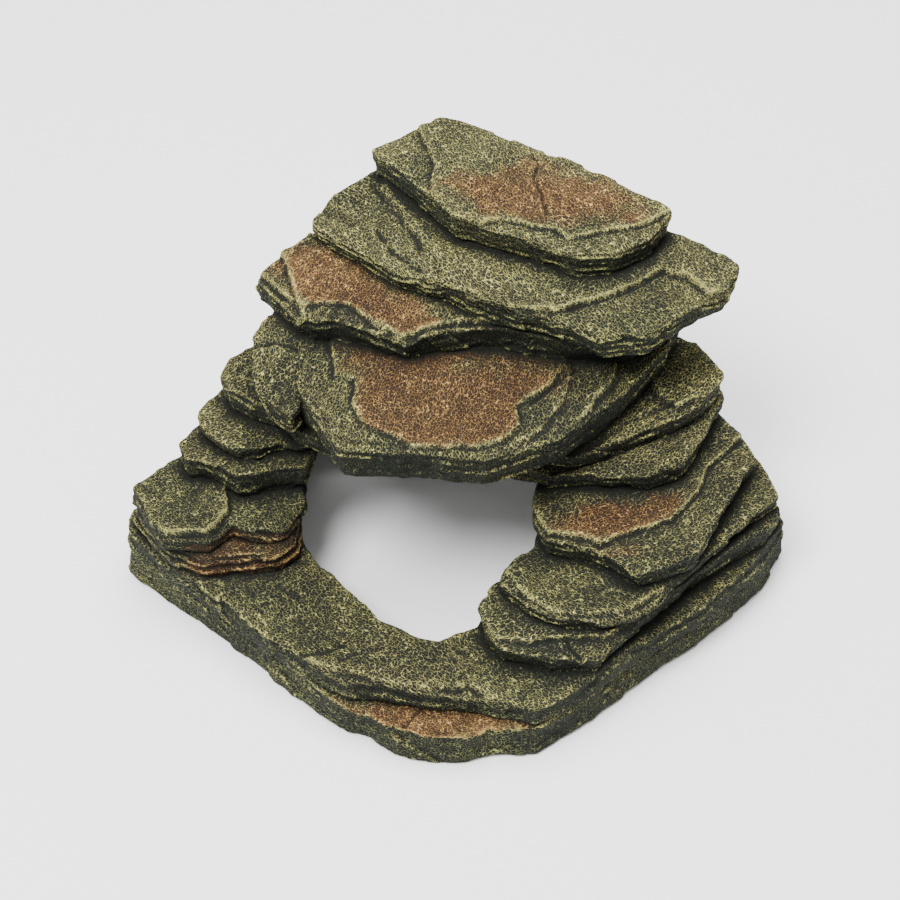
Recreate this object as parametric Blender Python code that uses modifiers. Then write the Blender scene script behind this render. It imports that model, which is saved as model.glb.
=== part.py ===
"""Aquarium cave ornament: flat painted-resin stones stacked into a swim-through arch on a ring base.

The entrance faces -Y, +X is to the right of someone looking in, and +Z is up from the tank floor.
Outlines are in millimetres, seen from above. Every stone is a flat slab between two bedding levels.
"""

import bpy

MM = 0.001

# Driving dimensions, in millimetres: the bedding levels, from the tank floor to the crown.
LEDGE_LEVEL = 15.0
BASE_TOP = 26.0
LEFT_FOOT_SPLIT = 36.0
LEFT_FOOT_TOP = 46.0
LEFT_PIER_SPLIT = 57.0
LEFT_PIER_TOP = 65.5
LEFT_SHOULDER_SPLIT = 78.0
RIGHT_FOOT_SPLIT = 37.0
RIGHT_FOOT_TOP = 44.0
RIGHT_PIER_TOP = 56.0
RIGHT_SHOULDER_SPLIT = 67.0
ARCH_LEVEL = 79.0
LINTEL_TOP = 97.0
MID_TOP = 110.0
UPPER_TOP = 123.0
CROWN_TOP = 136.0
JOINT = 0.3
CHAMFER = 1.4
SOLE_CHAMFER = 0.6
WELD_DISTANCE = 0.00001

CHARCOAL_GREEN = (0.115, 0.118, 0.072)
OLIVE = (0.155, 0.155, 0.090)
RUST = (0.245, 0.160, 0.098)

# The swim-through passage: both pier faces and the two lips of the hole in the ring base.
PASSAGE_LEFT = [(-60, -22), (-64, 0), (-65, 28), (-58, 51)]
PASSAGE_FRONT = [(7, -61), (-7, -67), (-16, -65), (-30, -57), (-43, -42)]
PASSAGE_RIGHT = [(45, 52), (41, 22), (37, -14), (32, -28), (20, -36)]

# The ring base's outside, round from the left corner. The front differs between its two layers.
BASE_REAR = [
    (120, 18),
    (100, 38),
    (62, 66),
    (26, 90),
    (-6, 104),
    (-34, 88),
    (-66, 56),
    (-100, 20),
    (-124, 0),
]
LEDGE_FRONT = [
    (-130, -14),
    (-114, -29),
    (-100, -40),
    (-79, -58),
    (-62, -74),
    (-50, -85),
    (-42, -91),
    (-33, -94),
    (-22, -101),
    (-10, -104),
    (4, -104),
    (12, -101),
    (29, -101),
    (48, -87),
    (62, -75),
    (92, -51),
    (118, -26),
    (130, -6),
]
THRESHOLD_FRONT = [
    (-128, -12),
    (-112, -29),
    (-95, -42),
    (-74, -60),
    (-60, -75),
    (-50, -81),
    (-41, -87),
    (-27, -88),
    (-10, -92),
    (8, -93),
    (28, -99),
    (47, -86),
    (61, -74),
    (91, -51),
    (116, -28),
    (128, -10),
]

LEFT_FOOT_LOWER = [(-126, -12), (-110, -32), (-96, -38), (-82, -36), (-70, -35), (-62, -28)]
LEFT_FOOT_UPPER = [(-125, -9), (-111, -32), (-95, -33), (-87, -24), (-78, -28), (-66, -28), (-60, -14)]
LEFT_PIER_SLAB = [(-107, 3), (-104, -5), (-92, -7), (-84, -13), (-77, -12), (-70, -9), (-58, -8)]
LEFT_PIER_CAP = [(-99, 12), (-97, 5), (-90, -1), (-84, -5), (-76, -5), (-68, -1), (-58, -2)]
LEFT_SHOULDER_LOWER = [(-90, 20), (-87, 11), (-77, 6), (-67, 4), (-60, -5), (-52, -11), (-44, -14)]
LEFT_SHOULDER_UPPER = [(-76, 21), (-75, 8), (-69, -3), (-62, -11), (-60, -3)]
RIGHT_FOOT_LOWER = [
    (16, -48),
    (8, -60),
    (10, -71),
    (17, -79),
    (35, -83),
    (51, -83),
    (61, -72),
    (92, -43),
    (120, -22),
    (126, -13),
]
RIGHT_FOOT_UPPER = [(19, -48), (16, -54), (29, -67), (39, -71), (53, -72), (66, -69), (92, -43), (124, -12)]
RIGHT_PIER_SLAB = [(31, -21), (29, -31), (34, -42), (50, -46), (66, -58), (88, -49), (96, -34), (115, -1)]
RIGHT_SHOULDER_LOWER = [(18, -13), (34, -19), (52, -19), (72, -20), (85, -15), (94, 2), (103, 20)]
RIGHT_SHOULDER_UPPER = [(24, -12), (43, -17), (62, -9), (82, -2), (92, 5), (102, 19)]
LINTEL = [
    (-58, -3),
    (-50, -18),
    (-42, -33),
    (-18, -34),
    (-4, -36),
    (10, -38),
    (24, -33),
    (36, -27),
    (46, -17),
    (66, 5),
    (77, 19),
    (86, 37),
]
MID = [
    (-76, 42),
    (-67, 32),
    (-60, 22),
    (-45, 19),
    (-32, 14),
    (-19, 8),
    (-5, 13),
    (14, 14),
    (40, 9),
    (66, 14),
    (84, 30),
]
UPPER = [
    (-53, 64),
    (-37, 47),
    (-20, 33),
    (-4, 26),
    (12, 15),
    (34, 9),
    (52, -2),
    (71, 0),
    (84, 11),
    (99, 22),
    (104, 34),
]
CROWN = [
    (-33, 85),
    (-22, 74),
    (-10, 59),
    (-1, 47),
    (14, 40),
    (30, 33),
    (44, 26),
    (58, 27),
    (72, 37),
    (80, 49),
]

# How each stone runs on behind the entrance: down the passage and back round the outside.
RIGHT_BACK = [(44, 74), (44, 50), (41, 22), (36, -8)]
LEFT_FOOT_REAR = [(-62, 5), (-57, 26), (-54, 58), (-68, 46), (-88, 26), (-108, 6)]
LEFT_PIER_REAR = [(-54, 10), (-53, 58), (-72, 43), (-90, 27)]
LEFT_SHOULDER_REAR = [(-44, 8), (-48, 36), (-50, 61), (-66, 48), (-79, 37), (-87, 28)]
RIGHT_FOOT_REAR = [(118, 4), (98, 34), (70, 55), *RIGHT_BACK, (30, -38)]
RIGHT_PIER_REAR = [(104, 20), (92, 38), (70, 54), *RIGHT_BACK]
RIGHT_SHOULDER_REAR = [(93, 36), (70, 54), (44, 74), (40, 48), (36, 20)]
LEFT_SHOULDER_TOP_REAR = [(-56, 18), (-54, 56), (-63, 43), (-71, 32)]
LINTEL_REAR = [(70, 54), (38, 76), (4, 92), (-12, 92), (-34, 76), (-52, 58), (-55, 18)]
MID_REAR = [(72, 54), (38, 77), (4, 96), (-10, 98), (-30, 86), (-50, 70), (-71, 50)]
UPPER_REAR = [(82, 50), (40, 79), (6, 99), (-8, 101), (-24, 94), (-46, 77)]
CROWN_REAR = [(70, 58), (38, 81), (2, 101), (-7, 103), (-18, 97)]

STONES = {
    "left_foot_lower": (BASE_TOP, LEFT_FOOT_SPLIT, LEFT_FOOT_LOWER + LEFT_FOOT_REAR, RUST),
    "left_foot_upper": (LEFT_FOOT_SPLIT, LEFT_FOOT_TOP, LEFT_FOOT_UPPER + LEFT_FOOT_REAR, CHARCOAL_GREEN),
    "left_pier_slab": (LEFT_FOOT_TOP, LEFT_PIER_SPLIT, LEFT_PIER_SLAB + LEFT_PIER_REAR, OLIVE),
    "left_pier_cap": (LEFT_PIER_SPLIT, LEFT_PIER_TOP, LEFT_PIER_CAP + LEFT_PIER_REAR, OLIVE),
    "left_shoulder_lower": (
        LEFT_PIER_TOP,
        LEFT_SHOULDER_SPLIT,
        LEFT_SHOULDER_LOWER + LEFT_SHOULDER_REAR,
        OLIVE,
    ),
    "left_shoulder_upper": (
        LEFT_SHOULDER_SPLIT,
        LINTEL_TOP,
        LEFT_SHOULDER_UPPER + LEFT_SHOULDER_TOP_REAR,
        CHARCOAL_GREEN,
    ),
    "right_foot_lower": (BASE_TOP, RIGHT_FOOT_SPLIT, RIGHT_FOOT_LOWER + RIGHT_FOOT_REAR, OLIVE),
    "right_foot_upper": (RIGHT_FOOT_SPLIT, RIGHT_FOOT_TOP, RIGHT_FOOT_UPPER + RIGHT_FOOT_REAR, OLIVE),
    "right_pier_slab": (RIGHT_FOOT_TOP, RIGHT_PIER_TOP, RIGHT_PIER_SLAB + RIGHT_PIER_REAR, RUST),
    "right_shoulder_lower": (
        RIGHT_PIER_TOP,
        RIGHT_SHOULDER_SPLIT,
        RIGHT_SHOULDER_LOWER + RIGHT_SHOULDER_REAR,
        CHARCOAL_GREEN,
    ),
    "right_shoulder_upper": (
        RIGHT_SHOULDER_SPLIT,
        ARCH_LEVEL,
        RIGHT_SHOULDER_UPPER + RIGHT_SHOULDER_REAR,
        CHARCOAL_GREEN,
    ),
    "lintel_slab": (ARCH_LEVEL, LINTEL_TOP, LINTEL + LINTEL_REAR, RUST),
    "mid_slab": (LINTEL_TOP, MID_TOP, MID + MID_REAR, RUST),
    "upper_slab": (MID_TOP, UPPER_TOP, UPPER + UPPER_REAR, OLIVE),
    "crown_slab": (UPPER_TOP, CROWN_TOP, CROWN + CROWN_REAR, RUST),
}


def clear_scene():
    for old in list(bpy.data.objects):
        bpy.data.objects.remove(old, do_unlink=True)


def painted_resin(name, colour):
    """Hard cast resin under matt paint."""
    material = bpy.data.materials.new(name + "_paint")
    material.use_nodes = True
    shader = material.node_tree.nodes["Principled BSDF"]
    shader.inputs["Base Color"].default_value = (*colour, 1.0)
    shader.inputs["Roughness"].default_value = 0.75
    shader.inputs["Metallic"].default_value = 0.0
    return material


def add_loop(curve, outline):
    spline = curve.splines.new("POLY")
    spline.points.add(len(outline) - 1)
    for point, (x, y) in zip(spline.points, outline):
        point.co = (x * MM, y * MM, 0.0, 1.0)
    spline.use_cyclic_u = True


def slab(collection, name, bottom, top, outlines, colour, chamfer=CHAMFER):
    """A flat stone between two levels. The first outline is its outside, and any other is a hole."""
    curve = bpy.data.curves.new(name, "CURVE")
    curve.dimensions = "2D"
    curve.fill_mode = "BOTH"
    curve.extrude = (top - bottom) / 2 * MM
    for outline in outlines:
        add_loop(curve, outline)
    curve.materials.append(painted_resin(name, colour))
    stone = bpy.data.objects.new(name, curve)
    stone.location.z = (top + bottom) / 2 * MM
    collection.objects.link(stone)
    weld = stone.modifiers.new("weld_caps", "WELD")
    weld.merge_threshold = WELD_DISTANCE
    edge = stone.modifiers.new("broken_edges", "BEVEL")
    edge.width = chamfer * MM
    edge.segments = 1
    edge.limit_method = "ANGLE"
    edge.angle_limit = 1.0
    return stone


def main():
    clear_scene()
    ornament = bpy.data.collections.new("resin_cave_ornament")
    bpy.context.scene.collection.children.link(ornament)
    hole = PASSAGE_FRONT + PASSAGE_LEFT + PASSAGE_RIGHT
    slab(ornament, "base_ring", 0.0, LEDGE_LEVEL, [LEDGE_FRONT + BASE_REAR, hole], OLIVE, SOLE_CHAMFER)
    slab(
        ornament,
        "threshold_ring",
        LEDGE_LEVEL + JOINT,
        BASE_TOP,
        [THRESHOLD_FRONT + BASE_REAR, hole],
        OLIVE,
    )
    for name, (bottom, top, outline, colour) in STONES.items():
        slab(ornament, name, bottom + JOINT, top, [outline], colour)


main()
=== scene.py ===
"""Looks of the resin cave ornament: 17 worn, layered stones with dry-brushed paint, on the CAD frame.

Each stone starts from its CAD slab. It is remeshed finely and then carved: bedding layers and
undercuts on its sides, broken plates, creases and slopes on its top, and chips along its lip.
In the tables, lengths are millimetres in the frame's axes, and outlines are seen from above.
"""

import math
from dataclasses import dataclass, field

import bmesh
import bpy
import numpy as np
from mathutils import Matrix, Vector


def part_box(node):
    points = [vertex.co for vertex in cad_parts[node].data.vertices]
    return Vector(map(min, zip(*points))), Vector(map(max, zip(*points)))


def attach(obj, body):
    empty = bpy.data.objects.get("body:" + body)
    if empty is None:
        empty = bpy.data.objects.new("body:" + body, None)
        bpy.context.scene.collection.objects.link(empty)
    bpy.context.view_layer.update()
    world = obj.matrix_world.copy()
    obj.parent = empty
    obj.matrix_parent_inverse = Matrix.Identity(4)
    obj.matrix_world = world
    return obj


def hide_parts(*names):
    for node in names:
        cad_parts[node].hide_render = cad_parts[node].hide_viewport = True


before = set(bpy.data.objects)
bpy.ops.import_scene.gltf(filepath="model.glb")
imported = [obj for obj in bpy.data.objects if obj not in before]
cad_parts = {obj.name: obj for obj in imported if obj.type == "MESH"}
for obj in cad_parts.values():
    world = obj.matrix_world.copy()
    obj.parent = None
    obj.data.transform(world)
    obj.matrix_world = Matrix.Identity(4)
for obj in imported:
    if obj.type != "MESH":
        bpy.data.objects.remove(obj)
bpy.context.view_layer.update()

MM = 0.001
# Beyond any stone. A plate's outline goes there where the plate has no edge on the stone.
FAR = 400

# The spacing of the remeshed points, and how far each is then drawn to the mean of its neighbours.
FINE_GRID = 0.64
RING_GRID = 0.85
FINE_EASE = 0.25
RING_EASE = 0.5

# Walls are the slab's faces that tilt no more than this. Their inset fades out over the reach, the
# direction out of them blends round corners, and the slab's chamfered rim is partly filled out.
WALL_TILT = 0.2
WALL_REACH = 11.0
CORNER_BLEND = 3.0
CAD_CHAMFER = 1.4
CHAMFER_FILL = 0.75
# The share of each bed's height above its step, how far apart beds are in the noise, and the facets
# broken across the beds, which lean with height.
BED_FACE = 0.80
BED_APART = 37.0
FACET_SIZE = 15
FACET_LEAN = (0.9, 0.5)

# Tops lie a little below the slab's, have raised rims on their plates and a worn, chipped lip, and
# never fall by more than a share of the slab's thickness.
TOP_SINK = 0.7
PLATE_RIM = 0.15
CREASE_WANDER = 0.5
CREASE_WANDER_SIZE = 4
LIP_WIDTH = 1.4
LIP_WEAR = 0.7
CHIP_SIZE = 9
CHIP_WIDTH = 2.0
DEEPEST_SHARE = 0.8
# Undersides keep a gap to the top of the stone below, once they are inside its walls.
SETTLE_GAP = 0.2
SETTLE_EDGE = (0.5, 4)

# Uneven surfaces, as the amount and the wavelength of each wave of noise in them.
TOP_ROLL = ((0.65, 28), (0.30, 10))
PLATE_EDGE = ((1.0, 6), (0.5, 3.2))
BED_WOBBLE = ((0.5, 24), (0.2, 7))
BED_ROUGHNESS = ((0.7, 16), (0.4, 6))
WALL_WAVES = ((0.45, 11), (0.2, 5))
RUST_EDGE = ((0.25, 13), (0.15, 5))

# The leathery skin: long ridges and a finer grain, both stretched along the stone's grain.
SKIN_STRETCH = 1.6
SKIN_RIDGE, SKIN_RIDGE_SIZE = 0.36, 4.6
SKIN_GRAIN, SKIN_GRAIN_SIZE = 0.22, 2.3

# Masks for the paint: how sharply the surface bends, or how far it stands out of its surroundings.
WORN_BEND = (0.10, 0.23)
# How sharply the surface must bend inward for dark wash and painted shade in its pits.
PIT_BEND = (0.02, 0.14)
PROUD_HEIGHT = (-0.22, 0.30)
PROUD_ROUNDS = 10
# Dark wash and painted shade: how far it reaches from the foot of a stone that stands above, and its
# strength low on a stone's own side.
WASH_AND_SHADE_REACH = 1.8
SIDE_WASH_AND_SHADE = 0.7
OFF_PLATE = 0.15
# Where the left foot's front is rust-coloured, and how its bands are drawn out.
FOOT_FRONT_X = (-108, -100)
FOOT_FRONT_Y = (-24, -8)
FOOT_BAND_SCALE = (0.5, 0.5, 2.0)

# Every stone has a run of seeds of its own, and each use of noise takes its seeds from one place in it.
# ROLL to RUSTED count on from TOP_SEEDS, and WOBBLE to WAVES from WALL_SEEDS.
SEED_RUN = 101
TOP_SEEDS, WALL_SEEDS = 7, 57
ROLL, PLATES, CREASES, CHIPS, SKIN, RUSTED = 0, 10, 30, 40, 60, 70
WOBBLE, ROUGHNESS, FACETS, WAVES = 0, 2, 5, 6

CAMERA_ELEVATION = math.radians(48)
CAMERA_DISTANCE = 0.815
CAMERA_TARGET = (-0.0027, -0.0023, 0.060)
CAMERA_LENS = 85
CAMERA_SENSOR = 36
WORLD_STRENGTH = 0.85
# Each soft light: its place and its width in metres, and its power in watts.
LIGHTS = {"key": ((-0.45, -0.45, 1.3), 0.6, 34), "top": ((0.1, 0.3, 1.5), 1.2, 34)}
LIGHT_AIM_HEIGHT = 0.05
FLOOR_GREY = 0.93
FLOOR_SIZE = 6
FLOOR_LEVEL = -0.0002

# Paint, from the pits to the ridges, as places on the ramp with linear colours.
MOSS = [
    (0.0, (0.010, 0.011, 0.009)),
    (0.35, (0.040, 0.042, 0.029)),
    (0.65, (0.120, 0.117, 0.058)),
    (1.0, (0.62, 0.56, 0.16)),
]
RUST = [
    (0.0, (0.024, 0.014, 0.009)),
    (0.35, (0.094, 0.050, 0.025)),
    (0.65, (0.24, 0.120, 0.045)),
    (1.0, (0.66, 0.38, 0.12)),
]
# The colour of the dark wash and painted shade in pits and round the feet of stones.
WASH_AND_SHADE_COLOUR = (0.012, 0.013, 0.010)
COOL_TINT = (0.88, 0.95, 0.95)
UPRIGHT_TINT = (0.80, 0.88, 0.90)
# The stippled skin. A scale is in cells for each metre, and a share is how much goes into the ridges.
FLOW_SCALE, FLOW_PUSH = 34, 0.010
JITTER_SCALE, JITTER_PUSH = 520, 0.0012
DRAWN_OUT = (1.9, 1.0, 1.1)
NET_SCALE, NET_LINE, NET_SHARE = 980, 0.13, 0.80
WORM_SCALE, WORM_LEVELS, WORM_SHARE = 820, (1.05, 1.6), 0.85
GRIT_SCALE, GRIT_SHARE = 1900, 0.6
RELIEF_STRENGTH, RELIEF_HEIGHT = 0.85, 0.0011
# What adds to the dry-brushing or takes from it.
BROAD_SCALE, BROAD_SHARE = 38, 0.6
SIDE_CHANGE = -0.24
WORN_SHARE = 0.60
PROUD_MIDDLE, PROUD_SHARE_ON_SIDES, PROUD_SHARE_ON_TOPS = 0.44, 0.06, 0.15
SHADE_SHARE = 0.45
# How the colours are spread, and the most that each may cover.
MOTTLE_SCALE, MOTTLE_SHARE = 190, 0.9
RUST_LEVELS, MOST_RUST = (0.12, 1.05), 0.9
COOL_SCALE, MOST_COOL = 22, 0.5
# The most that the dark wash and painted shade may cover.
MOST_WASH_AND_SHADE = 0.75
MOST_UPRIGHT = 0.6
ROUGH_IN_PITS, ROUGH_ON_RIDGES = 0.86, 0.62
SPECULAR = 0.12
FLOOR_ROUGHNESS = 0.9


@dataclass
class Plate:
    """A flake of the top. Outside its outline the stone lies lower by drop, over a step of that width."""

    outline: list
    drop: float
    step: float = 1.2
    ragged: float = 0.7


@dataclass
class Crease:
    """A groove (depth above 0) or a ridge (below 0) along a line on the top surface."""

    line: list
    depth: float
    width: float


@dataclass
class Ramp:
    """The top falls smoothly by drop from the first point to the second."""

    start: tuple
    end: tuple
    drop: float


@dataclass
class Patch:
    """An oval of rust colour sprayed on the top, turned by degrees. Where plate is set, it keeps to it."""

    centre: tuple
    half: tuple
    turn: float = 0.0
    strength: float = 1.0
    plate: int = -1


@dataclass
class Flare:
    """The side stands out further by amount, growing from one x to the other."""

    start: float
    full: float
    amount: float


@dataclass
class Stone:
    """How one stone differs from its plain CAD slab."""

    slot: str
    # The stones that it settles on.
    on: tuple = ()
    # Layers in the side, and how far the lowest is set back, or the highest where undercut is below 0.
    beds: int = 4
    undercut: float = 1.5
    # How far the side stands out, all round and at one end.
    swell: float = 1.3
    flares: tuple = ()
    # Unevenness of the beds, the inward slope of each bed's face, and the depth of the broken facets.
    rough: float = 1.0
    tooth: float = 1.1
    chunk: float = 0.55
    # The stone whose broken side this one carries on.
    family: str = ""
    # The top surface.
    plates: list = field(default_factory=list)
    creases: list = field(default_factory=list)
    ramps: list = field(default_factory=list)
    # Paint: sprayed rust on the top, rust on the front from some way below the top, extra pale
    # dry-brushing, and the strength of the dark wash and painted shade where this stone meets the one below.
    rust: list = field(default_factory=list)
    side_rust: bool = False
    rust_from: float = 1.5
    dusting: float = 0.0
    contact: float = 1.0
    # The direction of the skin's ridges in degrees, and the spacing of the mesh.
    grain: float = 20.0
    grid: float = FINE_GRID


# From the floor up.
STONES = {
    "base_ring": Stone(
        "resin_rust_ledge",
        beds=3,
        undercut=-0.8,
        swell=0.9,
        rough=0.4,
        tooth=0.1,
        chunk=0.7,
        creases=[
            Crease([(-20, -100), (-14, -92), (-6, -86), (3, -82)], 0.8, 1.2),
            Crease([(-44, -96), (-38, -88), (-30, -82)], 0.6, 1.2),
        ],
        rust=[Patch((-14, -97), (46, 17), 2)],
        dusting=0.10,
        grain=-30,
        grid=RING_GRID,
    ),
    "threshold_ring": Stone(
        "resin_moss",
        on=("base_ring",),
        beds=2,
        undercut=-0.8,
        swell=0.9,
        flares=(Flare(-55, -75, 2.2), Flare(22, 40, 1.6), Flare(100, 122, -1.6)),
        rough=0.4,
        tooth=0.1,
        chunk=0.7,
        family="base_ring",
        plates=[
            Plate(
                [(-FAR, 40), (-FAR, -FAR), (-66, -92), (-58, -76), (-47, -80), (-40, -82), (-26, -86),
                 (-11, -90), (4, -88), (14, -95), (21, -99), (30, -FAR), (FAR, -FAR), (FAR, FAR),
                 (-FAR, FAR)],
                1.8,
            ),
        ],
        creases=[
            Crease([(-61, -76), (-51, -74), (-42, -70)], 1.3, 1.6),
            Crease([(-47, -80), (-38, -74), (-28, -72)], 0.7, 1.6),
            Crease([(-2, -88), (6, -80), (14, -76)], 0.5, 1.6),
        ],
        dusting=0.02,
        contact=0.25,
        grain=-35,
        grid=RING_GRID,
    ),
    "left_foot_lower": Stone(
        "resin_rust_ledge",
        on=("threshold_ring",),
        beds=3,
        undercut=-2.0,
        rough=0.6,
        tooth=0.7,
        side_rust=True,
        rust_from=-9.0,
        grain=0,
    ),
    "left_foot_upper": Stone(
        "resin_dark_moss",
        on=("left_foot_lower",),
        beds=2,
        undercut=-0.6,
        swell=1.9,
        rough=0.5,
        tooth=0.5,
        plates=[
            Plate(
                [(-FAR, -10), (-120, -17), (-116, -26), (-110, -31), (-95, -31), (-92, -27), (-88, -20),
                 (-90, -8), (-80, 10), (-60, 20), (FAR, FAR), (-FAR, FAR)],
                3.0, step=1.0, ragged=0.4,
            ),
        ],
        side_rust=True,
        rust_from=3.6,
        grain=-30,
    ),
    "left_pier_slab": Stone(
        "resin_dark_moss",
        on=("left_foot_upper",),
        beds=3,
        undercut=1.4,
        creases=[Crease([(-86, 2), (-80, 1), (-76, -2)], 2.2, 4.0)],
        grain=30,
    ),
    "left_pier_cap": Stone(
        "resin_dark_moss",
        on=("left_pier_slab",),
        beds=2,
        ramps=[Ramp((-80, 10), (-70, -6), 3.0)],
    ),
    "left_shoulder_lower": Stone(
        "resin_dark_moss",
        on=("left_pier_cap",),
        undercut=1.4,
        creases=[Crease([(-78, 20), (-70, 12), (-62, 4)], 0.9, 1.6)],
        ramps=[Ramp((-66, 14), (-52, -12), 5.0)],
        grain=60,
    ),
    "left_shoulder_upper": Stone(
        "resin_dark_moss",
        on=("left_shoulder_lower",),
        beds=5,
        undercut=1.0,
        swell=2.4,
        creases=[Crease([(-76, 18), (-68, 19), (-60, 16)], 1.2, 1.6)],
        ramps=[Ramp((-66, 26), (-64, -8), 9.0)],
        grain=70,
    ),
    "right_foot_lower": Stone(
        "resin_moss",
        on=("threshold_ring",),
        beds=3,
        plates=[
            Plate(
                [(0, 0), (9, -66), (14, -74), (26, -76), (40, -74), (54, -74), (66, -68), (FAR, -20),
                 (FAR, FAR), (0, FAR)],
                1.8,
            ),
        ],
        creases=[Crease([(46, -84), (42, -79), (40, -75)], 1.2, 1.4)],
    ),
    "right_foot_upper": Stone(
        "resin_moss",
        on=("right_foot_lower",),
        beds=2,
        undercut=1.0,
        plates=[
            Plate(
                [(0, 0), (19, -50), (23, -57), (28, -63), (37, -68), (48, -69), (60, -68), (70, -62),
                 (90, -45), (FAR, 0), (FAR, FAR), (0, FAR)],
                1.4,
            ),
        ],
        creases=[Crease([(25, -60), (29, -52), (38, -46)], 0.8, 5.0)],
        dusting=0.03,
        grain=-30,
    ),
    "right_pier_slab": Stone(
        "resin_rust_patch",
        on=("right_foot_upper",),
        beds=3,
        undercut=1.2,
        plates=[
            Plate(
                [(0, 0), (30, -30), (34, -40), (42, -40), (50, -43), (54, -45), (61, -41), (80, -34),
                 (85, -27), (91, -20), (94, -10), (106, 4), (FAR, FAR), (0, FAR)],
                2.0, step=0.8,
            ),
        ],
        rust=[Patch((60, -34), (33, 13), 8, plate=0), Patch((60, -48), (14, 6), strength=0.5)],
        grain=25,
    ),
    "right_shoulder_lower": Stone(
        "resin_dark_moss",
        on=("right_pier_slab",),
        beds=3,
        undercut=1.2,
        creases=[Crease([(36, -18), (62, -10), (88, 4)], 0.9, 1.6)],
        ramps=[Ramp((70, 0), (40, -18), 3.0)],
        dusting=0.05,
        grain=40,
    ),
    "right_shoulder_upper": Stone(
        "resin_dark_moss",
        on=("right_shoulder_lower",),
        beds=3,
        undercut=1.4,
        plates=[
            Plate(
                [(60, FAR), (74, 18), (78, 9), (84, 5), (92, 8), (FAR, 10), (FAR, FAR)],
                2.2, step=1.6,
            ),
        ],
        creases=[Crease([(50, -14), (66, -2), (84, 6)], 0.8, 1.8)],
        ramps=[Ramp((84, 14), (40, -14), 4.5)],
        dusting=0.05,
        contact=0.4,
        grain=40,
    ),
    "lintel_slab": Stone(
        "resin_rust_patch",
        on=("left_shoulder_lower", "right_shoulder_upper"),
        undercut=1.2,
        swell=1.7,
        plates=[
            Plate(
                [(-46, FAR), (-47, 15), (-45, 2), (-37, -1), (-38, -13), (-34, -22), (-24, -27),
                 (-16, -33), (-4, -34), (8, -33), (17, -30), (22, -23), (21, -14), (25, -10), (34, -3),
                 (40, 6), (46, FAR)],
                1.5,
            ),
            Plate(
                [(-FAR, FAR), (-FAR, -FAR), (15, -60), (18, -34), (30, -24), (38, -10), (42, 2), (56, FAR)],
                1.6, step=1.6,
            ),
            Plate(
                [(-FAR, FAR), (-FAR, -FAR), (30, -60), (38, -28), (44, -20), (50, -8), (58, 4), (74, FAR)],
                2.0, step=1.8,
            ),
        ],
        creases=[
            Crease([(27, -12), (37, -2), (46, 8)], 0.9, 1.6),
            Crease([(-56, -6), (-50, -16), (-47, -24)], 0.8, 1.8),
            Crease([(-47, -26), (-40, -30), (-28, -31)], 0.6, 1.6),
        ],
        rust=[Patch((-8, -11), (62, 36), -4, plate=0), Patch((34, 0), (20, 12), 40, 0.45)],
        contact=0.6,
        grain=80,
    ),
    "mid_slab": Stone(
        "resin_rust_patch",
        on=("lintel_slab", "left_shoulder_upper"),
        beds=3,
        undercut=1.4,
        plates=[
            Plate(
                [(-60, FAR), (-67, 58), (-65, 48), (-62, 38), (-60, 29), (-57, 20), (-50, 0), (FAR, 0),
                 (FAR, FAR)],
                2.4,
            ),
            Plate(
                [(-FAR, FAR), (-58, 27), (-50, 28), (-41, 27), (-33, 19), (-21, 10), (-10, 14), (-1, 17),
                 (40, 16), (FAR, 30), (FAR, FAR)],
                1.8, step=1.0,
            ),
        ],
        rust=[Patch((-46, 37), (34, 18), -38, plate=1), Patch((-24, 21), (22, 12), -40, 0.9, 1)],
        dusting=0.04,
        grain=65,
    ),
    "upper_slab": Stone(
        "resin_moss",
        on=("mid_slab",),
        undercut=0.7,
        flares=(Flare(-34, -48, 2.4), Flare(88, 98, 0.6)),
        plates=[
            Plate(
                [(-FAR, FAR), (-FAR, -FAR), (0, -20), (3, 22), (12, 14), (24, 11), (38, 12), (51, 16),
                 (66, 24), (77, 33), (80, 29), (86, 28), (93, 20), (100, 22), (FAR, 30), (FAR, FAR)],
                2.6, step=1.0,
            ),
            Plate(
                [(-FAR, FAR), (-40, FAR), (-26, 72), (-14, 52), (-7, 40), (-3, 30), (4, 18), (10, -20),
                 (FAR, -20), (FAR, FAR)],
                2.2, step=4.0,
            ),
        ],
        creases=[
            Crease([(-33, 80), (-22, 62), (-14, 46)], 0.9, 2.2),
            Crease([(-30, 56), (-24, 44), (-14, 34)], 1.2, 2.4),
            Crease([(-50, 70), (-44, 66), (-40, 62)], 1.8, 4.0),
        ],
        ramps=[Ramp((-20, 60), (-42, 48), 3.5)],
        dusting=0.09,
        grain=-55,
    ),
    "crown_slab": Stone(
        "resin_rust_patch",
        on=("upper_slab",),
        undercut=1.4,
        swell=1.0,
        rough=0.5,
        chunk=0.2,
        plates=[
            Plate(
                [(-14, FAR), (-14, 98), (-11, 86), (-8, 76), (-10, 67), (-9, 58), (-8, 0), (FAR, 0),
                 (FAR, FAR)],
                1.5,
            ),
            Plate(
                [(-FAR, FAR), (-FAR, 20), (-4, 45), (2, 45), (9, 43), (17, 45), (23, 43), (30, 41),
                 (37, 39), (41, 34), (52, 38), (67, 42), (79, 49), (FAR, 60), (FAR, FAR)],
                1.6, step=0.8,
            ),
        ],
        creases=[
            Crease([(29, 82), (31, 76), (29, 67), (32, 58), (33, 47)], 1.0, 1.3),
            Crease([(-8, 77), (4, 79), (13, 78), (29, 82)], -0.5, 1.8),
        ],
        rust=[Patch((36, 55), (48, 19), -8, plate=1), Patch((30, 68), (20, 13), strength=0.7)],
        dusting=0.13,
        grain=-60,
    ),
}


# --- repeatable noise ---------------------------------------------------------------------------


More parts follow.
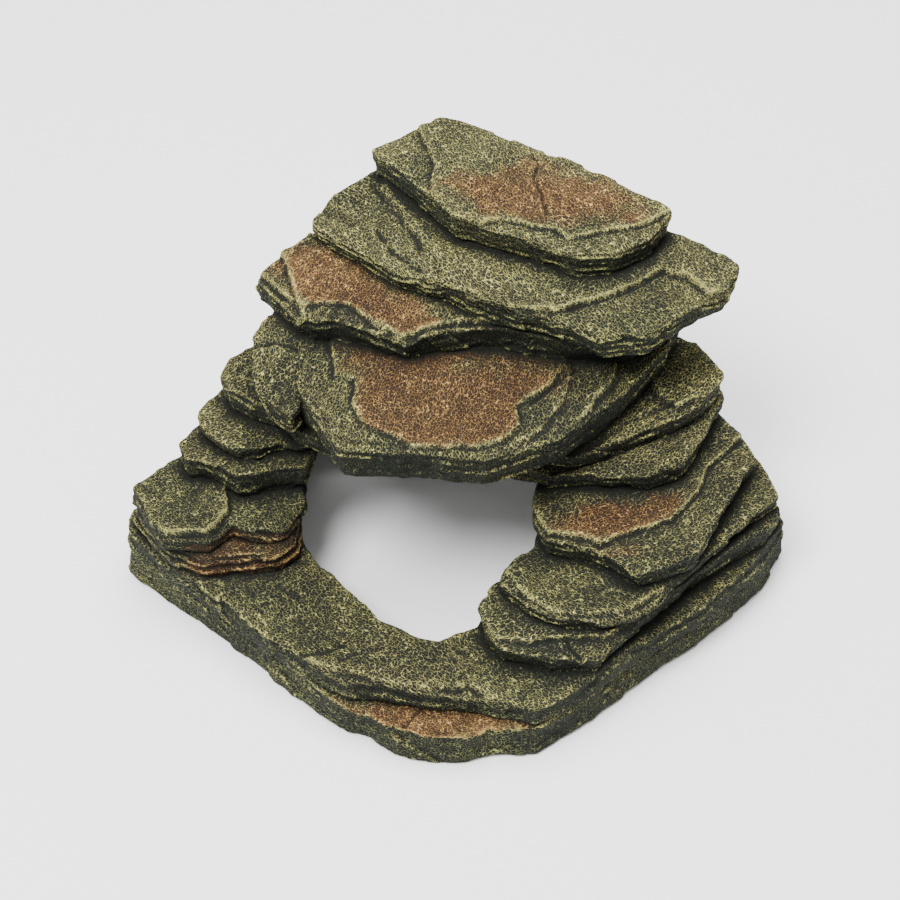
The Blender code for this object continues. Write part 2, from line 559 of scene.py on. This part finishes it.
def cell_value(cells, seed):
    """A repeatable number from 0 to 1 for each row of whole-number cell coordinates."""
    mixed = np.full(len(cells), (seed * 2654435761 + 12345) % 2**32, np.uint64)
    for axis, prime in zip(cells.T, (73856093, 19349663, 83492791)):
        mixed = (mixed ^ (axis.astype(np.int64) * prime).astype(np.uint64)) * np.uint64(2246822519)
        mixed = (mixed & np.uint64(0xFFFFFFFF)) ^ ((mixed & np.uint64(0xFFFFFFFF)) >> np.uint64(15))
    return (mixed & np.uint64(0xFFFFFF)).astype(float) / 0xFFFFFF


def noise(points, wavelength, seed):
    """Smooth value noise from -1 to 1 at points of two or three coordinates."""
    scaled = points / wavelength
    low = np.floor(scaled)
    part = scaled - low
    part = part * part * (3 - 2 * part)
    total = np.zeros(len(points))
    dims = points.shape[1]
    for corner in range(2**dims):
        step = np.array([(corner >> axis) & 1 for axis in range(dims)])
        weight = np.prod(np.where(step, part, 1 - part), axis=1)
        total += weight * cell_value(low + step, seed)
    return total * 2 - 1


def waves(points, sizes, seed, seed_step=1):
    """Noise of several sizes added up, from the amount and the wavelength of each."""
    return sum(
        amount * noise(points, wavelength, seed + number * seed_step)
        for number, (amount, wavelength) in enumerate(sizes)
    )


def facets(points, size, seed):
    """A value from -1 to 1 that is the same all over each irregular cell of about that size."""
    low = np.floor(points / size)
    nearest = np.full(len(points), np.inf)
    value = np.zeros(len(points))
    for dx in (-1, 0, 1):
        for dy in (-1, 0, 1):
            cell = low + (dx, dy)
            seat = cell + np.stack([cell_value(cell, seed), cell_value(cell, seed + 1)], 1)
            away = np.hypot(*(points / size - seat).T)
            closer = away < nearest
            nearest[closer] = away[closer]
            value[closer] = cell_value(cell, seed + 2)[closer]
    return value * 2 - 1


def smooth(low, high, x):
    """0 below low and 1 above high, or the other way about if low is the greater."""
    t = np.clip((x - low) / (high - low), 0, 1)
    return t * t * (3 - 2 * t)


# --- plan geometry ------------------------------------------------------------------------------


def to_segments(points, starts, ends):
    """The distance from each point to its nearest segment, and the nearest place on it."""
    best = np.full(len(points), np.inf)
    place = np.zeros((len(points), 2))
    for a, b in zip(starts, ends):
        along = b - a
        t = np.clip((points - a) @ along / max(along @ along, 1e-9), 0, 1)
        foot = a + t[:, None] * along
        away = np.hypot(*(points - foot).T)
        closer = away < best
        best[closer] = away[closer]
        place[closer] = foot[closer]
    return best, place


def inside(points, starts, ends):
    """Whether each point lies within the closed loops that the segments form."""
    crossings = np.zeros(len(points), int)
    x, y = points.T
    for (ax, ay), (bx, by) in zip(starts, ends):
        if ay == by:
            continue
        spans = (ay > y) != (by > y)
        crossings += spans & (x < (bx - ax) * (y - ay) / (by - ay) + ax)
    return crossings % 2 == 1


def outline_depth(points, outline):
    """Distance within a closed outline: above 0 inside it, below 0 outside."""
    starts = np.array(outline, float)
    ends = np.roll(starts, -1, axis=0)
    away, _ = to_segments(points, starts, ends)
    return np.where(inside(points, starts, ends), away, -away)


def line_distance(points, line):
    ends = np.array(line, float)
    return to_segments(points, ends[:-1], ends[1:])[0]


# --- stones -------------------------------------------------------------------------------------


class Slab:
    """A stone on its CAD slab: the slab's levels and upright walls in millimetres, and how they are worn."""

    def __init__(self, name):
        names = sorted(STONES)
        self.name = name
        self.stone = STONES[name]
        self.seed = names.index(name) * SEED_RUN + TOP_SEEDS
        self.wall_seed = names.index(self.stone.family or name) * SEED_RUN + WALL_SEEDS
        low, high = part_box(name)
        self.bottom, self.top = low.z / MM, high.z / MM
        segments = []
        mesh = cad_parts[name].data
        for face in mesh.polygons:
            if abs(face.normal.z) > WALL_TILT:
                continue
            corners = [mesh.vertices[i].co for i in face.vertices]
            plan = {(round(c.x / MM, 2), round(c.y / MM, 2)) for c in corners}
            if len(plan) == 2:
                start, end = sorted(plan)
                segments.append((*start, *end, round(face.normal.x, 3), round(face.normal.y, 3)))
        walls = np.unique(np.array(segments, float), axis=0)
        self.starts, self.ends, self.normals = walls[:, :2], walls[:, 2:4], walls[:, 4:]

    def wall(self, points):
        return to_segments(points, self.starts, self.ends)

    def outward(self, points):
        """The direction out of the nearest walls, blended smoothly round corners."""
        total = np.zeros((len(points), 2))
        for a, b, normal in zip(self.starts, self.ends, self.normals):
            away, _ = to_segments(points, a[None], b[None])
            total += np.exp(-((away / CORNER_BLEND) ** 2))[:, None] * normal
        return total / np.maximum(np.hypot(*total.T), 1e-6)[:, None]

    def fall(self, points, wall_distance):
        """How far the top surface lies below the slab's flat top."""
        seed = self.seed
        fall = waves(points, TOP_ROLL, seed + ROLL) - TOP_SINK
        for number, plate in enumerate(self.stone.plates):
            depth = outline_depth(points, plate.outline)
            depth += plate.ragged * waves(points, PLATE_EDGE, seed + PLATES + number, 10)
            fall += plate.drop * smooth(0, plate.step, -depth)
            fall -= PLATE_RIM * smooth(-0.4, 0.2, depth) * (1 - smooth(0.4, 3, depth))
        for crease in self.stone.creases:
            away = line_distance(points, crease.line)
            away = away + CREASE_WANDER * noise(points, CREASE_WANDER_SIZE, seed + CREASES)
            fall += crease.depth * (1 - smooth(0, crease.width, away))
        for ramp in self.stone.ramps:
            start, end = np.array(ramp.start, float), np.array(ramp.end, float)
            along = (points - start) @ (end - start) / ((end - start) @ (end - start))
            fall += ramp.drop * smooth(0, 1.0, along)
        chip = smooth(0.3, 0.6, noise(points, CHIP_SIZE, seed + CHIPS))
        width = LIP_WIDTH + CHIP_WIDTH * chip
        worn_down = LIP_WEAR * (0.4 + 1.2 * chip)
        fall += worn_down * (1 - smooth(0, 1, wall_distance / width)) ** 1.5
        fall -= CHAMFER_FILL * (1 - 0.8 * chip) * np.clip(CAD_CHAMFER - wall_distance, 0, None)
        return np.minimum(fall, (self.top - self.bottom) * DEEPEST_SHARE)

    def inset(self, place, z):
        """How far the side has broken back from the slab's wall, bed by bed."""
        seed, stone = self.wall_seed, self.stone
        last = stone.beds - 1
        wobble = waves(place, BED_WOBBLE, seed + WOBBLE)
        level = (self.top - z) / (self.top - self.bottom) * stone.beds + wobble
        level = np.clip(level, 0, stone.beds - 0.001)
        bed = np.floor(level)
        step = smooth(BED_FACE, 1.0, level - bed)

        def back(bed):
            marker = np.hstack([place, (bed * BED_APART)[:, None]])
            share = bed / last if stone.undercut > 0 else 1 - bed / last
            return abs(stone.undercut) * share + stone.rough * waves(marker, BED_ROUGHNESS, seed + ROUGHNESS)

        stepped = back(bed) * (1 - step) + back(np.minimum(bed + 1, last)) * step
        tooth = stone.tooth * (level - bed) * (1 - step)
        chunk = stone.chunk * facets(place + np.outer(z, FACET_LEAN), FACET_SIZE, seed + FACETS)
        edge = stone.rough * waves(place, WALL_WAVES, seed + WAVES)
        flares = sum(flare.amount * smooth(flare.start, flare.full, place[:, 0]) for flare in stone.flares)
        return stepped + tooth + chunk + edge - (stone.swell + flares)


SLABS = {name: Slab(name) for name in STONES}


# --- meshes -------------------------------------------------------------------------------------


def remeshed(name, grid):
    """A fine, even copy of a CAD node's mesh."""
    copy = bpy.data.objects.new(name + "_stone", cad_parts[name].data.copy())
    bpy.context.scene.collection.objects.link(copy)
    weld = bmesh.new()
    weld.from_mesh(copy.data)
    bmesh.ops.remove_doubles(weld, verts=weld.verts, dist=1e-6)
    weld.to_mesh(copy.data)
    weld.free()
    remesh = copy.modifiers.new("remesh", "REMESH")
    remesh.mode = "VOXEL"
    remesh.voxel_size = grid * MM
    graph = bpy.context.evaluated_depsgraph_get()
    graph.update()
    fine = bpy.data.meshes.new_from_object(copy.evaluated_get(graph))
    copy.modifiers.clear()
    copy.data = fine
    fine.name = name + "_stone"
    fine.materials.clear()
    return copy


def vectors(collection, key):
    flat = np.empty(len(collection) * 3, np.float32)
    collection.foreach_get(key, flat)
    return flat.reshape(-1, 3).astype(float)


def edge_ends(mesh):
    flat = np.empty(len(mesh.edges) * 2, np.int32)
    mesh.edges.foreach_get("vertices", flat)
    return flat.reshape(-1, 2).T


def neighbour_mean(values, ends):
    """The mean over each vertex's neighbours."""
    a, b = ends
    count = len(values)
    total = np.bincount(a, values[b], count) + np.bincount(b, values[a], count)
    return total / np.maximum(np.bincount(a, minlength=count) + np.bincount(b, minlength=count), 1)


def put(mesh, points):
    mesh.vertices.foreach_set("co", (points * MM).astype(np.float32).ravel())
    mesh.update()


def store(mesh, name, values):
    layer = mesh.attributes.new(name, "FLOAT", "POINT")
    layer.data.foreach_set("value", np.clip(values, 0, 1).astype(np.float32))


def under_height(slab, points):
    """The level of a slab's underside at each point: it settles on whatever stone lies beneath."""
    level = np.full(len(points), slab.bottom)
    for name in slab.stone.on:
        below = SLABS[name]
        away, _ = below.wall(points)
        covered = inside(points, below.starts, below.ends) * smooth(*SETTLE_EDGE, away)
        level += covered * (below.top - below.fall(points, away) - SETTLE_GAP - slab.bottom)
    return np.minimum(level, slab.bottom)


def carve(piece, slab):
    """Gives a remeshed slab its layered sides, broken top and settled underside."""
    points = vectors(piece.data.vertices, "co") / MM
    plan, z = points[:, :2].copy(), points[:, 2]
    away, place = slab.wall(plan)
    pull = slab.inset(place, z) * np.clip(1 - away / WALL_REACH, 0, 1) ** 2
    moved = plan - slab.outward(plan) * pull[:, None]
    upper = slab.top - slab.fall(moved, away)
    lower = under_height(slab, moved)
    share = np.clip((z - slab.bottom) / (slab.top - slab.bottom), 0, 1)
    carved = np.hstack([moved, (lower + share * (upper - lower))[:, None]])
    ends = edge_ends(piece.data)
    ease = RING_EASE if slab.stone.grid == RING_GRID else FINE_EASE
    for axis in range(3):
        carved[:, axis] = (1 - ease) * carved[:, axis] + ease * neighbour_mean(carved[:, axis], ends)
    if not slab.stone.on:
        carved[:, 2] = np.maximum(carved[:, 2], slab.bottom)
    put(piece.data, carved)


def wrinkle(piece, slab):
    """Low leathery wrinkles all over the stone, fading out towards its underside."""
    mesh = piece.data
    points = vectors(mesh.vertices, "co") / MM
    normals = vectors(mesh.vertex_normals, "vector")
    turn = math.radians(slab.stone.grain)
    along = points @ np.array([math.cos(turn), math.sin(turn), 0.0])
    across = points @ np.array([-math.sin(turn), math.cos(turn), 0.0])
    cloth = np.stack([along / SKIN_STRETCH, across, points[:, 2]], 1)
    ridges = 1 - 2 * np.abs(noise(cloth, SKIN_RIDGE_SIZE, slab.seed + SKIN))
    height = SKIN_RIDGE * ridges + SKIN_GRAIN * noise(cloth, SKIN_GRAIN_SIZE, slab.seed + SKIN + 1)
    height *= smooth(slab.bottom, slab.bottom + 1.0, points[:, 2])
    put(mesh, points + normals * height[:, None])


# --- masks for the paint, from 0 to 1 at each point of a mesh -------------------------------------


def softened(points, ends, rounds):
    soft = points.copy()
    for _ in range(rounds):
        for axis in range(3):
            soft[:, axis] = neighbour_mean(soft[:, axis], ends)
    return soft


def wash_and_shade_round_stones(slab, points, normals):
    """Dark wash and painted shade: round the stones that stand on this one, and low on its own side."""
    plan = points[:, :2]
    wash_and_shade = np.zeros(len(points))
    facing_up = smooth(0.2, 0.7, normals[:, 2])
    for above in SLABS.values():
        if slab.name in above.stone.on:
            away, _ = above.wall(plan)
            away = np.where(inside(plan, above.starts, above.ends), 0, away)
            wash_and_shade = np.maximum(wash_and_shade, above.stone.contact * facing_up * np.exp(-away / WASH_AND_SHADE_REACH))
    if slab.stone.on:
        side = 1 - smooth(0.2, 0.6, np.abs(normals[:, 2]))
        low = 1 - smooth(slab.bottom, slab.bottom + 2.0, points[:, 2])
        wash_and_shade = np.maximum(wash_and_shade, side * low * SIDE_WASH_AND_SHADE * slab.stone.contact)
    return wash_and_shade


def sprayed_on_top(slab, points, normals):
    """The rust colour's ovals, with uneven edges."""
    plan = points[:, :2]
    rust = np.zeros(len(points))
    for patch in slab.stone.rust:
        turn = math.radians(patch.turn)
        away = plan - patch.centre
        u = (away[:, 0] * math.cos(turn) + away[:, 1] * math.sin(turn)) / patch.half[0]
        v = (-away[:, 0] * math.sin(turn) + away[:, 1] * math.cos(turn)) / patch.half[1]
        spread = np.hypot(u, v) + waves(plan, RUST_EDGE, slab.seed + RUSTED)
        sprayed = patch.strength * (1 - smooth(0.35, 1.25, spread)) * smooth(0.35, 0.7, normals[:, 2])
        if patch.plate >= 0:
            outline = slab.stone.plates[patch.plate].outline
            sprayed *= OFF_PLATE + (1 - OFF_PLATE) * smooth(-1.0, 1.0, outline_depth(plan, outline))
        rust = np.maximum(rust, sprayed)
    return rust


def sprayed_on_front(slab, points):
    """Rust colour in bands on the front of the left foot, up to some way below the stone's top."""
    front = 1 - smooth(*FOOT_FRONT_Y, points[:, 1])
    band = 0.5 + 0.5 * noise(points * FOOT_BAND_SCALE, 9, slab.seed + RUSTED + 2)
    from_level = slab.stone.rust_from
    below_lip = smooth(from_level, from_level + 1, slab.top - points[:, 2])
    return smooth(*FOOT_FRONT_X, points[:, 0]) * front * below_lip * (0.45 + 0.55 * band)


def paint_masks(piece, slab):
    """Stores where paint is worn, where the surface stands proud, where dark wash and painted shade lie in
    pits and round the stones, and where rust colour lies.
    """
    mesh = piece.data
    points = vectors(mesh.vertices, "co") / MM
    normals = vectors(mesh.vertex_normals, "vector")
    ends = edge_ends(mesh)
    bend = ((points - softened(points, ends, 1)) * normals).sum(1)
    height = ((points - softened(points, ends, PROUD_ROUNDS)) * normals).sum(1)
    store(mesh, "worn", smooth(*WORN_BEND, bend))
    store(mesh, "proud", smooth(*PROUD_HEIGHT, height))
    # Dark wash and painted shade in the pits, where the surface bends inward, and round the stones.
    pits = smooth(*PIT_BEND, -neighbour_mean(bend, ends))
    store(mesh, "shade", np.maximum(pits, wash_and_shade_round_stones(slab, points, normals)))
    rust = sprayed_on_top(slab, points, normals)
    if slab.stone.side_rust:
        rust = np.maximum(rust, sprayed_on_front(slab, points))
    store(mesh, "rust", rust)


# --- paint --------------------------------------------------------------------------------------


class Nodes:
    """Short names for building a material's node tree."""

    def __init__(self, material):
        self.tree = material.node_tree
        self.shader = self.tree.nodes["Principled BSDF"]

    def add(self, kind, **settings):
        node = self.tree.nodes.new("ShaderNode" + kind)
        for key, value in settings.items():
            setattr(node, key, value)
        return node

    def join(self, source, target):
        self.tree.links.new(source, target)

    def feed(self, socket, value):
        """Joins an output to the socket, or sets the socket to a number or a colour."""
        if isinstance(value, (int, float)):
            socket.default_value = value
        elif isinstance(value, tuple):
            socket.default_value = (*value, 1.0)
        else:
            self.join(value, socket)

    def math(self, operation, a, b, clamp=False):
        node = self.add("Math", operation=operation, use_clamp=clamp)
        self.feed(node.inputs[0], a)
        self.feed(node.inputs[1], b)
        return node.outputs[0]

    def plus(self, total, value, amount, middle=0.0):
        """The total plus amount times how far the value is above its middle."""
        if middle:
            value = self.math("SUBTRACT", value, middle)
        return self.math("ADD", total, self.math("MULTIPLY", value, amount))

    def spread(self, value, low, high, to_low=0.0, to_high=1.0):
        """The value taken smoothly from the range low to high into the range to_low to to_high."""
        node = self.add("MapRange", interpolation_type="SMOOTHSTEP")
        self.join(value, node.inputs["Value"])
        for name, number in zip(("From Min", "From Max", "To Min", "To Max"), (low, high, to_low, to_high)):
            node.inputs[name].default_value = number
        return node.outputs["Result"]

    def mask(self, name):
        return self.add("Attribute", attribute_name=name).outputs["Fac"]

    def noise(self, vector, scale, detail, kind="FBM"):
        node = self.add("TexNoise", noise_type=kind)
        self.join(vector, node.inputs["Vector"])
        node.inputs["Scale"].default_value = scale
        node.inputs["Detail"].default_value = detail
        return node.outputs["Fac"]

    def warped(self, vector, place, scale, amount):
        """The vector pushed about by noise of that scale, by up to amount in metres."""
        push = self.add("TexNoise")
        self.join(place, push.inputs["Vector"])
        push.inputs["Scale"].default_value = scale
        push.inputs["Detail"].default_value = 2
        moved = self.add("VectorMath", operation="MULTIPLY_ADD")
        self.join(push.outputs["Color"], moved.inputs[0])
        moved.inputs[1].default_value = (amount, amount, amount)
        self.join(vector, moved.inputs[2])
        return moved.outputs["Vector"]

    def cracks(self, vector, scale):
        """Distance from the walls of a net of cells, from 0 on a wall."""
        node = self.add("TexVoronoi", feature="DISTANCE_TO_EDGE")
        self.join(vector, node.inputs["Vector"])
        node.inputs["Scale"].default_value = scale
        return node.outputs["Distance"]

    def ramp(self, value, stops):
        node = self.add("ValToRGB")
        self.join(value, node.inputs["Fac"])
        elements = node.color_ramp.elements
        while len(elements) < len(stops):
            elements.new(0.5)
        for element, (position, colour) in zip(elements, stops):
            element.position = position
            element.color = (*colour, 1.0)
        return node.outputs["Color"]

    def mix(self, factor, a, b, blend="MIX"):
        node = self.add("Mix", data_type="RGBA", blend_type=blend)
        for socket, value in zip((node.inputs[0], node.inputs[6], node.inputs[7]), (factor, a, b)):
            self.feed(socket, value)
        return node.outputs[2]

    def tinted(self, factor, colour, tint):
        return self.mix(factor, colour, self.mix(1.0, colour, tint, "MULTIPLY"))


def skin_ridges(n, place, grain):
    """The stippled skin: a net of fine ridges with grit, drawn out along the grain and flowing a little."""
    flow = n.warped(place, place, FLOW_SCALE, FLOW_PUSH)
    turned = n.add("Mapping", vector_type="TEXTURE")
    n.join(flow, turned.inputs["Vector"])
    turned.inputs["Rotation"].default_value = (0, 0, math.radians(grain))
    turned.inputs["Scale"].default_value = DRAWN_OUT
    skin = n.warped(turned.outputs["Vector"], place, JITTER_SCALE, JITTER_PUSH)
    net = n.spread(n.cracks(skin, NET_SCALE), 0.0, NET_LINE, 1.0, 0.0)
    worms = n.spread(n.noise(skin, WORM_SCALE, 1, "RIDGED_MULTIFRACTAL"), *WORM_LEVELS)
    ridges = n.plus(n.math("MULTIPLY", net, NET_SHARE), worms, WORM_SHARE)
    return n.plus(ridges, n.noise(skin, GRIT_SCALE, 2), GRIT_SHARE, middle=0.5)


def dry_brushed(n, ridges, place, facing, dusting):
    """How much pale paint the brush left, from 0 in a dark pit to 1 on a worn ridge."""
    broad = n.noise(place, BROAD_SCALE, 3)
    brush = n.plus(ridges, broad, BROAD_SHARE, middle=0.50 - dusting / BROAD_SHARE)
    brush = n.math("ADD", brush, n.spread(facing, -0.2, 0.9, SIDE_CHANGE, 0.0))
    brush = n.plus(brush, n.mask("worn"), WORN_SHARE)
    proud_share = n.spread(facing, 0.1, 0.7, PROUD_SHARE_ON_SIDES, PROUD_SHARE_ON_TOPS)
    brush = n.plus(brush, n.mask("proud"), proud_share, middle=PROUD_MIDDLE)
    # Less pale paint where the dark wash and painted shade lie.
    return n.math("SUBTRACT", brush, n.math("MULTIPLY", n.mask("shade"), SHADE_SHARE), clamp=True)


def coloured(n, brush, place, facing):
    """Moss green, rust where it was sprayed, then a patchy cooler tint, dark wash and painted shade, and
    darker sides.
    """
    rust = n.plus(n.mask("rust"), n.noise(place, MOTTLE_SCALE, 3), MOTTLE_SHARE, middle=0.5)
    sprayed = n.math("MULTIPLY", n.spread(rust, *RUST_LEVELS), MOST_RUST)
    colour = n.mix(sprayed, n.ramp(brush, MOSS), n.ramp(brush, RUST))
    cool = n.spread(n.noise(place, COOL_SCALE, 2), 0.35, 0.65)
    colour = n.tinted(n.math("MULTIPLY", cool, MOST_COOL), colour, COOL_TINT)
    # Dark wash and painted shade in pits and round the feet of stones.
    colour = n.mix(n.math("MULTIPLY", n.mask("shade"), MOST_WASH_AND_SHADE), colour, WASH_AND_SHADE_COLOUR)
    return n.tinted(n.spread(facing, 0.15, 0.6, MOST_UPRIGHT, 0.0), colour, UPRIGHT_TINT)


def stone_paint(name, grain, dusting):
    """Dark resin with dark wash and painted shade in its pits, and olive and rust colour dry-brushed over
    its ridges.
    """
    material = bpy.data.materials.new(name)
    material.use_nodes = True
    n = Nodes(material)
    place = n.add("TexCoord").outputs["Object"]
    split = n.add("SeparateXYZ")
    n.join(n.add("NewGeometry").outputs["Normal"], split.inputs[0])
    facing = split.outputs["Z"]

    ridges = skin_ridges(n, place, grain)
    brush = dry_brushed(n, ridges, place, facing, dusting)
    n.join(coloured(n, brush, place, facing), n.shader.inputs["Base Color"])
    n.join(n.spread(brush, 0.1, 0.9, ROUGH_IN_PITS, ROUGH_ON_RIDGES), n.shader.inputs["Roughness"])
    n.shader.inputs["Specular IOR Level"].default_value = SPECULAR

    relief = n.add("Bump")
    relief.inputs["Strength"].default_value = RELIEF_STRENGTH
    relief.inputs["Distance"].default_value = RELIEF_HEIGHT
    n.join(ridges, relief.inputs["Height"])
    n.join(relief.outputs["Normal"], n.shader.inputs["Normal"])
    return material


# --- stage --------------------------------------------------------------------------------------


def add_floor():
    paint = bpy.data.materials.new("floor")
    paint.use_nodes = True
    shader = paint.node_tree.nodes["Principled BSDF"]
    shader.inputs["Base Color"].default_value = (FLOOR_GREY, FLOOR_GREY, FLOOR_GREY, 1.0)
    shader.inputs["Roughness"].default_value = FLOOR_ROUGHNESS
    bpy.ops.mesh.primitive_plane_add(size=FLOOR_SIZE, location=(0, 0, FLOOR_LEVEL))
    floor = bpy.context.object
    floor.name = "floor"
    floor.data.materials.append(paint)


def add_light(name, place, size, power):
    data = bpy.data.lights.new(name, "AREA")
    data.shape = "DISK"
    data.size = size
    data.energy = power
    light = bpy.data.objects.new(name, data)
    bpy.context.scene.collection.objects.link(light)
    light.location = place
    direction = light.location.copy()
    direction.z -= LIGHT_AIM_HEIGHT
    light.rotation_euler = direction.to_track_quat("Z", "Y").to_euler()


def add_studio():
    world = bpy.data.worlds.new("studio")
    world.use_nodes = True
    background = world.node_tree.nodes["Background"]
    background.inputs["Color"].default_value = (1, 1, 1, 1)
    background.inputs["Strength"].default_value = WORLD_STRENGTH
    bpy.context.scene.world = world
    for name, (place, size, power) in LIGHTS.items():
        add_light(name, place, size, power)


def add_camera():
    data = bpy.data.cameras.new("camera")
    data.lens = CAMERA_LENS
    data.sensor_width = CAMERA_SENSOR
    camera = bpy.data.objects.new("camera", data)
    bpy.context.scene.collection.objects.link(camera)
    x, y, z = CAMERA_TARGET
    back = CAMERA_DISTANCE * math.cos(CAMERA_ELEVATION)
    rise = CAMERA_DISTANCE * math.sin(CAMERA_ELEVATION)
    camera.location = (x, y - back, z + rise)
    camera.rotation_euler = (math.pi / 2 - CAMERA_ELEVATION, 0, 0)
    bpy.context.scene.camera = camera


def add_stones():
    for name, slab in SLABS.items():
        stone = slab.stone
        piece = remeshed(name, stone.grid)
        carve(piece, slab)
        wrinkle(piece, slab)
        paint_masks(piece, slab)
        piece.data.shade_smooth()
        piece.data.materials.append(stone_paint(name + "_paint", stone.grain, stone.dusting))
        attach(piece, "root")
        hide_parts(name)


add_camera()
add_studio()
add_floor()
add_stones()
